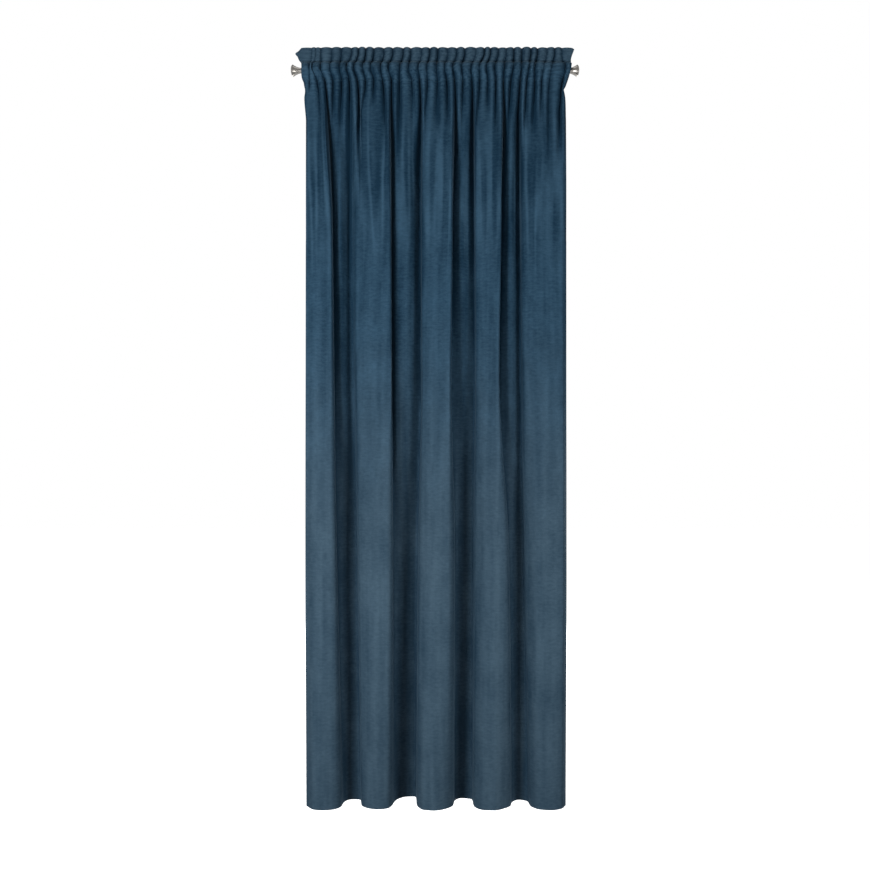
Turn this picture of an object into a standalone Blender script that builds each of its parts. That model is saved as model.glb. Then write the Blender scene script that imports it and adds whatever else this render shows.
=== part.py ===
"""Gathered velvet curtain on a thin metal rod with two trumpet finials.

The curtain is one cut length of velvet. Its top is turned to the back and sewn down twice, which leaves a
standing frill above a rod pocket. Below the pocket the pleats run together into five fronts and four valleys.
Origin: on the rod's axis at mid-length. +X runs along the rod to the viewer's right, the face looks along -Y
and +Z is up. The tables are in millimetres, and MM turns them into metres.
"""

import math
from typing import NamedTuple

import bpy
import numpy as np

MM = 0.001

# Cloth: finished width when laid flat, thickness of the sheet, and heights above the rod's axis.
CLOTH_WIDTH = 1400.0
CLOTH_THICKNESS = 2.0
TOP_FOLD = 82.0
FRILL = 57.0
UPPER_SEAM = 31.0
LOWER_SEAM = -42.0
POCKET_END = -52.0
PLEATS_OPEN = -150.0
FOLDS_UPPER = -605.0
FOLDS_MIDDLE = -1100.0
FOLDS_LOWER = -1700.0
HEM = -2620.0

# Half the distance between the two layers, on seams and where the pocket passes the rod.
SEWN_HALF_GAP = 2.3
POCKET_HALF_GAP = 22.0

# Pleats: depth to each side of the sewn line, and how sharply a gap closes (1 is a plain sine).
PLEAT_DEPTH = 6.5
PLEAT_DEPTH_AT_ROD = 6.0
GAP_SHARPNESS = 0.7
PLEAT_FADE_LENGTH = 380.0

# Large folds: the drop over which they deepen, and the most that a section may be deepened to take up the
# cloth's width.
FOLDS_GROW_LENGTH = 400.0
MOST_DEEPENING = 1.6
COLUMNS_PER_PLEAT = 3

# Rod and finials.
ROD_RADIUS = 9.5
ROD_WALL = 1.0
ROD_HALF_LENGTH = 470.0
FIT_GAP = 0.3
SPIGOT_LENGTH = 24.0
NECK_LENGTH = 8.0
FLARE_LENGTH = 28.0
RIM_RADIUS = 20.6
RIM_THICKNESS = 1.2
DOME_HEIGHT = 7.0
FLARE_POWER = 1.8
FLARE_STEPS = 6
DOME_STEPS = 4
ROD_SIDES = 32
FINIAL_SIDES = 24


class Gap(NamedTuple):
    """One gap between pleats: its place along the rod at four heights, and its depth, 1 being usual."""

    frill: float
    rod: float
    seam: float
    below: float
    depth: float


class FoldLine(NamedTuple):
    """One line down the cloth: the pleat it starts from, and where it hangs at four heights."""

    pleat: float
    x_upper: float
    y_upper: float
    x_middle: float
    y_middle: float
    x_lower: float
    y_lower: float
    x_hem: float
    y_hem: float


class Edge(NamedTuple):
    """Where the two side edges stand at one height."""

    height: float
    left: float
    right: float


class Row(NamedTuple):
    """One row of the sheet: its height, and how far its layer lies to the front (-) or back (+) of the sewn line."""

    height: float
    offset: float


GAPS = (
    Gap(-440, -445, -448, -450, 0.7),
    Gap(-425, -436, -421, -409, 0.8),
    Gap(-407, -407, -393, -384, 1.2),
    Gap(-368, -373, -364, -366, 0.9),
    Gap(-334, -339, -333, -338, 1.0),
    Gap(-298, -314, -306, -304, 1.0),
    Gap(-273, -288, -277, -268, 1.2),
    Gap(-247, -257, -248, -263, 0.9),
    Gap(-218, -229, -218, -222, 0.9),
    Gap(-182, -193, -186, -177, 1.0),
    Gap(-150, -166, -155, -157, 1.1),
    Gap(-113, -125, -127, -127, 1.0),
    Gap(-86, -95, -83, -79, 0.8),
    Gap(-47, -59, -55, -48, 1.1),
    Gap(-18, -29, -27, -34, 0.8),
    Gap(10, 5, 9, 7, 0.9),
    Gap(46, 34, 42, 46, 1.0),
    Gap(78, 64, 70, 75, 1.1),
    Gap(107, 94, 100, 98, 0.9),
    Gap(146, 127, 132, 137, 1.2),
    Gap(177, 157, 160, 150, 0.8),
    Gap(198, 182, 189, 189, 0.8),
    Gap(227, 212, 218, 218, 1.0),
    Gap(255, 246, 245, 250, 1.1),
    Gap(282, 278, 271, 264, 1.0),
    Gap(310, 307, 305, 298, 1.2),
    Gap(343, 334, 328, 323, 0.9),
    Gap(366, 353, 357, 353, 1.0),
    Gap(400, 386, 381, 380, 0.8),
    Gap(428, 414, 409, 405, 0.8),
    Gap(453, 450, 448, 444, 0.8),
)
PLEATS = len(GAPS) + 1

# Each front starts at a left turn, comes forward to a shoulder and ends at a right turn. Each valley has two
# gaps with a ridge between them, which flattens out lower down.
FOLD_LINES = (
    FoldLine(0, -461, -4, -461, -8, -461, -12, -458, -12),
    FoldLine(5 / 3, -425, -16, -425, -24, -425, -38, -425, -46),
    FoldLine(8 / 3, -370, -20, -365, -30, -354, -42, -345, -36),
    FoldLine(3, -366, 22, -362, 26, -352, 16, -326, 18),
    FoldLine(14 / 3, -337, 4, -336, 14, -328, 34, -303, 41),
    FoldLine(6, -308, 34, -302, 44, -290, 48, -274, 42),
    FoldLine(20 / 3, -280, -2, -276, -4, -268, -10, -259, -13),
    FoldLine(25 / 3, -235, -16, -232, -24, -228, -34, -222, -39),
    FoldLine(31 / 3, -164, -25, -161, -36, -159, -44, -166, -36),
    FoldLine(32 / 3, -158, -18, -155, -26, -151, -30, -154, -15),
    FoldLine(11, -156, 24, -154, 26, -149, 28, -147, 18),
    FoldLine(35 / 3, -140, -2, -138, 4, -134, 34, -128, 52),
    FoldLine(38 / 3, -100, 0, -108, 12, -112, 44, -104, 65),
    FoldLine(41 / 3, -58, 40, -56, 48, -66, 60, -75, 66),
    FoldLine(43 / 3, -47, 0, -44, -4, -54, -10, -62, -18),
    FoldLine(46 / 3, -20, -18, -18, -24, -24, -36, -40, -48),
    FoldLine(17, 50, -28, 45, -38, 49, -50, 46, -36),
    FoldLine(53 / 3, 61, -18, 55, -26, 68, -28, 65, -10),
    FoldLine(18, 66, 26, 64, 28, 74, 26, 71, 30),
    FoldLine(19, 96, 2, 92, 18, 98, 44, 96, 54),
    FoldLine(20, 140, 32, 140, 38, 132, 44, 132, 45),
    FoldLine(61 / 3, 146, -4, 148, -6, 146, -8, 139, -18),
    FoldLine(65 / 3, 178, -16, 178, -26, 180, -38, 178, -50),
    FoldLine(70 / 3, 226, -26, 219, -36, 243, -48, 248, -38),
    FoldLine(71 / 3, 233, -18, 227, -26, 260, -30, 268, -14),
    FoldLine(24, 238, 24, 236, 24, 266, 12, 277, 18),
    FoldLine(25, 268, -2, 266, 6, 280, 26, 303, 39),
    FoldLine(26, 304, 32, 308, 36, 316, 36, 333, 25),
    FoldLine(80 / 3, 311, -2, 316, -4, 326, -6, 339, -14),
    FoldLine(85 / 3, 345, -20, 352, -28, 362, -38, 368, -45),
    FoldLine(94 / 3, 448, -22, 449, -32, 450, -42, 450, -38),
    FoldLine(PLEATS, 468, -8, 468, -10, 468, -12, 466, -10),
)

EDGES = (
    Edge(PLEATS_OPEN, -462, 467),
    Edge(-70, -465, 460),
    Edge(LOWER_SEAM, -469, 469),
    Edge(0, -473, 482),
    Edge(UPPER_SEAM, -479, 485),
    Edge(FRILL, -499, 489),
    Edge(TOP_FOLD, -475, 487),
)

# The sheet runs from the hem up the front, over the top fold and down the back to the pocket's end.
ROWS = (
    Row(HEM, 0),
    Row(-2160, 0),
    Row(FOLDS_LOWER, 0),
    Row(FOLDS_MIDDLE, 0),
    Row(FOLDS_UPPER, 0),
    Row(-400, 0),
    Row(-260, 0),
    Row(PLEATS_OPEN, 0),
    Row(-90, 0),
    Row(LOWER_SEAM, -SEWN_HALF_GAP),
    Row(-12, -POCKET_HALF_GAP),
    Row(12, -POCKET_HALF_GAP),
    Row(UPPER_SEAM, -SEWN_HALF_GAP),
    Row(FRILL, -SEWN_HALF_GAP),
    Row(TOP_FOLD - SEWN_HALF_GAP, -SEWN_HALF_GAP),
    Row(TOP_FOLD, 0),
    Row(TOP_FOLD - SEWN_HALF_GAP, SEWN_HALF_GAP),
    Row(FRILL, SEWN_HALF_GAP),
    Row(UPPER_SEAM, SEWN_HALF_GAP),
    Row(12, POCKET_HALF_GAP),
    Row(-12, POCKET_HALF_GAP),
    Row(LOWER_SEAM, SEWN_HALF_GAP),
    Row(POCKET_END, SEWN_HALF_GAP),
)


def ease(share):
    """0 to 1 in a smooth S, level at both ends."""
    share = np.clip(share, 0.0, 1.0)
    return share * share * (3.0 - 2.0 * share)


def smooth(keys, values, at):
    """Values at the given places on a smooth curve through the keys that never overshoots one."""
    keys = np.asarray(keys, float)
    values = np.asarray(values, float)
    steps = np.diff(keys)
    slopes = np.diff(values) / steps
    tangents = np.zeros_like(values)
    tangents[0] = slopes[0]
    tangents[-1] = slopes[-1]
    same_way = slopes[:-1] * slopes[1:] > 0
    before = np.where(same_way, slopes[:-1], 1.0)
    after = np.where(same_way, slopes[1:], 1.0)
    weight = steps[:-1] / (steps[:-1] + steps[1:])
    tangents[1:-1] = np.where(same_way, 1.0 / (weight / after + (1.0 - weight) / before), 0.0)
    span = np.clip(np.searchsorted(keys, at, side="right") - 1, 0, len(steps) - 1)
    u = (at - keys[span]) / steps[span]
    rise = ease(u)
    lift = steps[span] * u * (1.0 - u)
    return (
        values[span] * (1.0 - rise)
        + values[span + 1] * rise
        + lift * (1.0 - u) * tangents[span]
        - lift * u * tangents[span + 1]
    )


def pleated_section(pleat, height):
    """X and Y of the sewn line at one height of the heading, for each place counted in pleats."""
    edge_heights = [edge.height for edge in EDGES]
    left = np.interp(height, edge_heights, [edge.left for edge in EDGES])
    right = np.interp(height, edge_heights, [edge.right for edge in EDGES])
    gap_heights = (PLEATS_OPEN, LOWER_SEAM, 0.0, FRILL)
    inner = [np.interp(height, gap_heights, (g.below, g.seam, g.rod, g.frill)) for g in GAPS]
    depth_here = np.interp(height, (LOWER_SEAM, 0.0, UPPER_SEAM), (PLEAT_DEPTH, PLEAT_DEPTH_AT_ROD, PLEAT_DEPTH))
    gap_depths = [0.0] + [gap.depth for gap in GAPS] + [0.0]
    depth = depth_here * np.interp(pleat, range(PLEATS + 1), gap_depths)
    wave = 1.0 - 2.0 * np.abs(np.sin(np.pi * pleat)) ** (2.0 * GAP_SHARPNESS)
    x = np.interp(pleat, range(PLEATS + 1), [left, *inner, right])
    return x, depth * wave


def folded_section(pleat, height):
    """X and Y of the cloth at one height below the heading, where it hangs in large folds."""
    heights = (HEM, FOLDS_LOWER, FOLDS_MIDDLE, FOLDS_UPPER)
    height = max(HEM, min(FOLDS_UPPER, height))
    x_keys = [smooth(heights, (f.x_hem, f.x_lower, f.x_middle, f.x_upper), height) for f in FOLD_LINES]
    y_keys = [smooth(heights, (f.y_hem, f.y_lower, f.y_middle, f.y_upper), height) for f in FOLD_LINES]
    places = [line.pleat for line in FOLD_LINES]
    return smooth(places, x_keys, pleat), smooth(places, y_keys, pleat)


def section(pleat, height):
    """X and Y of the cloth's middle at one height. Below the heading its depth follows from the cloth's width."""
    x, y = pleated_section(pleat, height)
    if height >= LOWER_SEAM:
        return x, y
    folded_x, folded_y = folded_section(pleat, height)
    drop = LOWER_SEAM - height
    x = x + (folded_x - x) * ease(drop / (LOWER_SEAM - FOLDS_UPPER))
    y = y * (1.0 - ease(drop / PLEAT_FADE_LENGTH)) + folded_y * ease(drop / FOLDS_GROW_LENGTH)
    return x, y * deepening(x, y)


def deepening(x, y):
    """The factor on a section's depth that makes it take up the whole width of the cloth."""
    least = 1.0 / MOST_DEEPENING
    most = MOST_DEEPENING
    for _ in range(16):
        middle = 0.5 * (least + most)
        if np.hypot(np.diff(x), np.diff(middle * y)).sum() < CLOTH_WIDTH:
            least = middle
        else:
            most = middle
    return middle


def collection(name):
    """A new collection in the scene."""
    made = bpy.data.collections.new(name)
    bpy.context.scene.collection.children.link(made)
    return made


def material(name, colour, roughness, metallic):
    """A Principled material with one colour."""
    made = bpy.data.materials.new(name)
    made.use_nodes = True
    shader = made.node_tree.nodes["Principled BSDF"]
    shader.inputs["Base Color"].default_value = (*colour, 1.0)
    shader.inputs["Roughness"].default_value = roughness
    shader.inputs["Metallic"].default_value = metallic
    return made


def add_object(name, mesh, finish, into, parent):
    """A mesh object with a finish, in a collection and under a parent."""
    mesh.materials.append(finish)
    made = bpy.data.objects.new(name, mesh)
    into.objects.link(made)
    made.parent = parent
    return made


def make_curtain(into, parent):
    """The velvet as one open sheet through all its rows, thickened to a solid."""
    pleat = np.linspace(0.0, PLEATS, PLEATS * COLUMNS_PER_PLEAT + 1)
    points = []
    for row in ROWS:
        x, y = section(pleat, row.height)
        z = np.full_like(x, row.height)
        points.append(np.stack([x, y + row.offset, z], axis=1))
    columns = len(pleat)
    faces = [
        (start, start + 1, start + 1 + columns, start + columns)
        for row in range(len(ROWS) - 1)
        for start in range(row * columns, row * columns + columns - 1)
    ]
    mesh = bpy.data.meshes.new("curtain")
    mesh.from_pydata((np.concatenate(points) * MM).tolist(), [], faces)
    mesh.shade_smooth()
    velvet = material("velvet", (0.016, 0.047, 0.082), 0.9, 0.0)
    curtain = add_object("curtain", mesh, velvet, into, parent)
    thickness = curtain.modifiers.new("Cloth thickness", "SOLIDIFY")
    thickness.thickness = CLOTH_THICKNESS * MM
    thickness.offset = 0.0
    return curtain


def make_turned(name, profile, closed, sides, finish, into, parent):
    """A profile of (radius, height) points, from its top down its outer side, turned round the object's Z."""
    points = [(radius * MM, 0.0, height * MM) for radius, height in profile]
    edges = [(index, index + 1) for index in range(len(points) - 1)]
    if closed:
        edges.append((len(points) - 1, 0))
    mesh = bpy.data.meshes.new(name)
    mesh.from_pydata(points, edges, [])
    turned = add_object(name, mesh, finish, into, parent)
    screw = turned.modifiers.new("Turning", "SCREW")
    screw.steps = sides
    screw.render_steps = sides
    screw.use_merge_vertices = True
    screw.merge_threshold = 0.00001
    return turned


def make_rod(metal, into, parent):
    """The tube, along X."""
    bore = ROD_RADIUS - ROD_WALL
    profile = [
        (ROD_RADIUS, ROD_HALF_LENGTH),
        (ROD_RADIUS, -ROD_HALF_LENGTH),
        (bore, -ROD_HALF_LENGTH),
        (bore, ROD_HALF_LENGTH),
    ]
    rod = make_turned("rod", profile, True, ROD_SIDES, metal, into, parent)
    rod.rotation_euler = (0.0, math.pi / 2, 0.0)
    return rod


def finial_profile():
    """Dome, rim, flare, neck and spigot, with the shoulder that faces the tube's end at height 0."""
    rim = NECK_LENGTH + FLARE_LENGTH
    dome = [
        (RIM_RADIUS * math.sin(angle), rim + RIM_THICKNESS + DOME_HEIGHT * math.cos(angle))
        for angle in (0.5 * math.pi * step / DOME_STEPS for step in range(DOME_STEPS + 1))
    ]
    flare = [
        (ROD_RADIUS + (RIM_RADIUS - ROD_RADIUS) * share**FLARE_POWER, NECK_LENGTH + FLARE_LENGTH * share)
        for share in (1.0 - step / FLARE_STEPS for step in range(FLARE_STEPS + 1))
    ]
    spigot = ROD_RADIUS - ROD_WALL - FIT_GAP
    return [*dome, *flare, (ROD_RADIUS, 0.0), (spigot, 0.0), (spigot, -SPIGOT_LENGTH), (0.0, -SPIGOT_LENGTH)]


def make_finial(name, side, metal, into, parent):
    """One turned finial, plugged into the tube's end on the given side (-1 left, 1 right)."""
    finial = make_turned(name, finial_profile(), False, FINIAL_SIDES, metal, into, parent)
    finial.rotation_euler = (0.0, side * math.pi / 2, 0.0)
    finial.location = (side * (ROD_HALF_LENGTH + FIT_GAP) * MM, 0.0, 0.0)
    return finial


def main():
    """Clears the scene and builds the curtain, its rod and the two finials."""
    for old in list(bpy.data.objects):
        bpy.data.objects.remove(old, do_unlink=True)
    parts = collection("curtain_on_rod")
    origin = bpy.data.objects.new("rod_axis", None)
    parts.objects.link(origin)
    make_curtain(parts, origin)
    make_rod(material("rod_metal", (0.36, 0.35, 0.33), 0.35, 1.0), parts, origin)
    make_finial("finial_left", -1, material("finial_left_metal", (0.42, 0.41, 0.39), 0.3, 1.0), parts, origin)
    make_finial("finial_right", 1, material("finial_right_metal", (0.42, 0.41, 0.39), 0.3, 1.0), parts, origin)


main()
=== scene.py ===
"""Gathered velvet curtain on a thin metal rod: the visible meshes, their finishes and a plain studio.

The curtain is one cut length of velvet. Its top is turned to the back and sewn down twice, which leaves a
standing frill above a rod pocket. Below the pocket the gathers run together into five fronts and four
valleys. Shape tables are in millimetres in the frame's axes: +X along the rod, the face towards -Y, +Z up.
"""

from __future__ import annotations

import logging
import math
from collections.abc import Mapping, Sequence
from dataclasses import dataclass, field
from enum import Enum
from typing import NamedTuple

import bmesh
import bpy
import numpy as np
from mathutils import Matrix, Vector

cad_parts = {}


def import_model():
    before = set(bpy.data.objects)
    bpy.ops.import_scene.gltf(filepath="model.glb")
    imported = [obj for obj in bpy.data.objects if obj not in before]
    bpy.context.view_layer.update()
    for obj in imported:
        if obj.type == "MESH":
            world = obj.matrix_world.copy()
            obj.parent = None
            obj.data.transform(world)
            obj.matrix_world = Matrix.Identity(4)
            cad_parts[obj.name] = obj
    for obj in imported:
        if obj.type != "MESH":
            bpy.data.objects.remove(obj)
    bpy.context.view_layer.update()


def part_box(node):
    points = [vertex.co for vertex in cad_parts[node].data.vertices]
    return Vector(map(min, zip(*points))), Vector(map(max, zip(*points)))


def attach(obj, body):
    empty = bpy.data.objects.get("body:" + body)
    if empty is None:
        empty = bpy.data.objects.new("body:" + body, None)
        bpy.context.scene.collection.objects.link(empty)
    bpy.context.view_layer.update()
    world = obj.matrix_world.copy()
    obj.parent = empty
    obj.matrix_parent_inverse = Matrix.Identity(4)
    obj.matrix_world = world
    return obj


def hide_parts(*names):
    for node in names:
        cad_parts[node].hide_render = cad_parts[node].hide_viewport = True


LOG = logging.getLogger("curtain")
BODY = "root"
CREST = "crest"
MM = 0.001
MERGE = 1e-7
TURNED_SHARP = 38.0
FINIAL_GAP = 0.0003
FLOOR_DROP = 0.05
Colour = tuple[float, float, float]
Scale = tuple[float, float, float]
Zone = tuple[float, float]


class Slot(Enum):
    """The record's material slots."""

    VELVET = "velvet"
    ROD = "rod_metal"
    FINIAL = "finial_metal"


class Side(Enum):
    """An end of the rod, as a direction along X."""

    LEFT = -1
    RIGHT = 1


# ---------------------------------------------------------------------------------------------------------
# Numbers along a line


def ease(share: np.ndarray | float) -> np.ndarray | float:
    """0 to 1 in a smooth S, level at both ends."""
    share = np.clip(share, 0.0, 1.0)
    return share * share * (3.0 - 2.0 * share)


def smooth(keys: Sequence[float], values: Sequence[float], at: np.ndarray | float) -> np.ndarray:
    """Reads a smooth curve through keys that never overshoots one.

    Args:
        keys: Places of the keys, rising.
        values: Value at each key.
        at: Places to read.

    Returns:
        The value at each place.
    """
    keys = np.asarray(keys, float)
    values = np.asarray(values, float)
    steps = np.diff(keys)
    slopes = np.diff(values) / steps
    tangents = np.zeros_like(values)
    tangents[0] = slopes[0]
    tangents[-1] = slopes[-1]
    same_way = slopes[:-1] * slopes[1:] > 0
    before = np.where(same_way, slopes[:-1], 1.0)
    after = np.where(same_way, slopes[1:], 1.0)
    weight = steps[:-1] / (steps[:-1] + steps[1:])
    tangents[1:-1] = np.where(same_way, 1.0 / (weight / after + (1.0 - weight) / before), 0.0)
    at = np.clip(at, keys[0], keys[-1])
    span = np.clip(np.searchsorted(keys, at, side="right") - 1, 0, len(steps) - 1)
    share = (at - keys[span]) / steps[span]
    rise = ease(share)
    lift = steps[span] * share * (1.0 - share)
    return (
        values[span] * (1.0 - rise)
        + values[span + 1] * rise
        + lift * (1.0 - share) * tangents[span]
        - lift * share * tangents[span + 1]
    )


def run_length(x: np.ndarray, y: np.ndarray) -> np.ndarray:
    """Distance walked along a line of points, from 0 at its first point."""
    return np.concatenate([[0.0], np.cumsum(np.hypot(np.diff(x), np.diff(y)))])


def spread(first: float, last: float, step: float) -> list[float]:
    """Even stations from first up to, but not including, last, about a step apart."""
    count = max(1, round(abs(last - first) / step))
    return [first + (last - first) * index / count for index in range(count)]


class Wander:
    """A smooth random field over the cloth, the same on each run."""

    def __init__(self, seed: int, cell: tuple[float, float], size: tuple[float, float]) -> None:
        """Draws the field.

        Args:
            seed: Seed of the draws.
            cell: Width and height of one lump, mm.
            size: Width and height of the area that it covers, mm.
        """
        self.cell = cell
        shape = [int(math.ceil(length / step)) + 3 for length, step in zip(size, cell, strict=True)]
        self.heights = np.random.default_rng(seed).uniform(-1.0, 1.0, shape)

    def at(self, across: np.ndarray, along: np.ndarray | float) -> np.ndarray:
        """Reads the field.

        Args:
            across: Places from the area's left side, mm.
            along: Places from its lower or upper side, mm.

        Returns:
            The field there, from -1 to 1.
        """
        u = np.asarray(across, float) / self.cell[0] + 0.5
        v = np.broadcast_to(np.asarray(along, float) / self.cell[1] + 0.5, u.shape)
        column = np.clip(u.astype(int), 0, self.heights.shape[0] - 2)
        row = np.clip(v.astype(int), 0, self.heights.shape[1] - 2)
        right = ease(u - column)
        up = ease(v - row)
        low = self.heights[column, row] * (1 - right) + self.heights[column + 1, row] * right
        high = self.heights[column, row + 1] * (1 - right) + self.heights[column + 1, row + 1] * right
        return low * (1 - up) + high * up


# ---------------------------------------------------------------------------------------------------------
# Node trees


class Term:
    """A socket with the arithmetic that the finishes are written in."""

    def __init__(self, graph: Graph, socket: bpy.types.NodeSocket) -> None:
        """Wraps one output socket of a graph's node."""
        self.graph = graph
        self.socket = socket

    def __add__(self, other: Term | float) -> Term:
        """Sum."""
        return self.graph.maths("ADD", self, other)

    def __sub__(self, other: Term | float) -> Term:
        """Difference."""
        return self.graph.maths("SUBTRACT", self, other)

    def __mul__(self, other: Term | float) -> Term:
        """Product."""
        return self.graph.maths("MULTIPLY", self, other)

    def __rsub__(self, other: float) -> Term:
        """Difference from a plain number."""
        return self.graph.maths("SUBTRACT", other, self)

    __radd__ = __add__
    __rmul__ = __mul__


class Graph:
    """A node tree that is written as expressions."""

    def __init__(self, tree: bpy.types.NodeTree) -> None:
        """Wraps a tree."""
        self.tree = tree

    def node(
        self,
        kind: str,
        settings: Mapping[str, object] | None = None,
        inputs: Mapping[str | int, object] | None = None,
    ) -> bpy.types.Node:
        """Adds a node.

        Args:
            kind: The node's type.
            settings: Properties, set first.
            inputs: Values or links by socket name or number.

        Returns:
            The node.
        """
        made = self.tree.nodes.new(kind)
        for name, value in (settings or {}).items():
            setattr(made, name, value)
        for name, value in (inputs or {}).items():
            self.feed(made.inputs[name], value)
        return made

    def feed(self, socket: bpy.types.NodeSocket, value: object) -> None:
        """Links a term or a socket to an input, or sets the input's own value.

        Args:
            socket: The input.
            value: A term, a socket or a plain value. A colour has three numbers.
        """
        if isinstance(value, Term):
            value = value.socket
        if isinstance(value, bpy.types.NodeSocket):
            self.tree.links.new(value, socket)
        elif isinstance(value, tuple) and len(value) == 3 and socket.type == "RGBA":
            socket.default_value = (*value, 1.0)
        else:
            socket.default_value = value

    def term(
        self,
        kind: str,
        settings: Mapping[str, object] | None = None,
        inputs: Mapping[str | int, object] | None = None,
        output: str | int = 0,
    ) -> Term:
        """One output of a new node, by name or number."""
        return Term(self, self.node(kind, settings, inputs).outputs[output])

    def maths(self, operation: str, first: Term | float, second: Term | float = 0.0) -> Term:
        """One Math node."""
        return self.term("ShaderNodeMath", {"operation": operation}, {0: first, 1: second})

    def clamped(self, value: Term) -> Term:
        """The value kept between 0 and 1."""
        return self.term("ShaderNodeClamp", None, {"Value": value})

    def band(self, value: Term, centre: float, reach: float) -> Term:
        """A band across a value.

        Args:
            value: What the band lies on.
            centre: Where it is 1.
            reach: How far to each side it eases to 0.

        Returns:
            The band.
        """
        away = self.maths("ABSOLUTE", value - centre)
        return self.term(
            "ShaderNodeMapRange",
            {"interpolation_type": "SMOOTHSTEP"},
            {"Value": away, "From Min": 0.0, "From Max": reach, "To Min": 1.0, "To Max": 0.0},
        )

    def rising(self, value: Term, low: float, high: float) -> Term:
        """A smooth step in a value.

        Args:
            value: What the step lies on.
            low: Where it leaves 0.
            high: Where it reaches 1.

        Returns:
            The step.
        """
        return self.term(
            "ShaderNodeMapRange",
            {"interpolation_type": "SMOOTHSTEP"},
            {"Value": value, "From Min": low, "From Max": high},
        )

    def blend(self, share: Term | float, first: Term | Colour, second: Term | Colour) -> Term:
        """A colour between two.

        Args:
            share: Share of the second.
            first: First colour.
            second: Second colour.

        Returns:
            The blend.
        """
        made = self.node("ShaderNodeMix", {"data_type": "RGBA"})
        self.feed(made.inputs[0], share)
        self.feed(made.inputs[6], first)
        self.feed(made.inputs[7], second)
        return Term(self, made.outputs[2])

    def noise(self, place: Term, scale: Scale, detail: float, rough: float = 0.5) -> Term:
        """Noise from 0 to 1 on stretched coordinates.

        Args:
            place: Coordinates, in metres.
            scale: Lumps to the metre, each way.
            detail: Octaves.
            rough: Weight of the finer octaves.

        Returns:
            The noise.
        """
        spot = self.term("ShaderNodeMapping", None, {"Vector": place, "Scale": scale})
        return self.term(
            "ShaderNodeTexNoise",
            {"noise_dimensions": "3D"},
            {"Vector": spot, "Scale": 1.0, "Detail": detail, "Roughness": rough},
        )

    def bump(self, height: Term, depth: float, strength: float, under: Term | None = None) -> Term:
        """A bent normal.

        Args:
            height: Height of 0 to 1.
            depth: Its full depth, in metres.
            strength: Share of the bend that is kept.
            under: A normal that is already bent.

        Returns:
            The normal.
        """
        inputs = {"Height": height, "Distance": depth, "Strength": strength}
        if under is not None:
            inputs["Normal"] = under
        return self.term("ShaderNodeBump", None, inputs)


def principled(name: str) -> tuple[bpy.types.Material, Graph, bpy.types.Node]:
    """Starts a material.

    Args:
        name: Its name.

    Returns:
        The material, its graph and its Principled shader.
    """
    made = bpy.data.materials.new(name)
    made.use_nodes = True
    graph = Graph(made.node_tree)
    return made, graph, made.node_tree.nodes["Principled BSDF"]


# ---------------------------------------------------------------------------------------------------------
# Finishes


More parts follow.
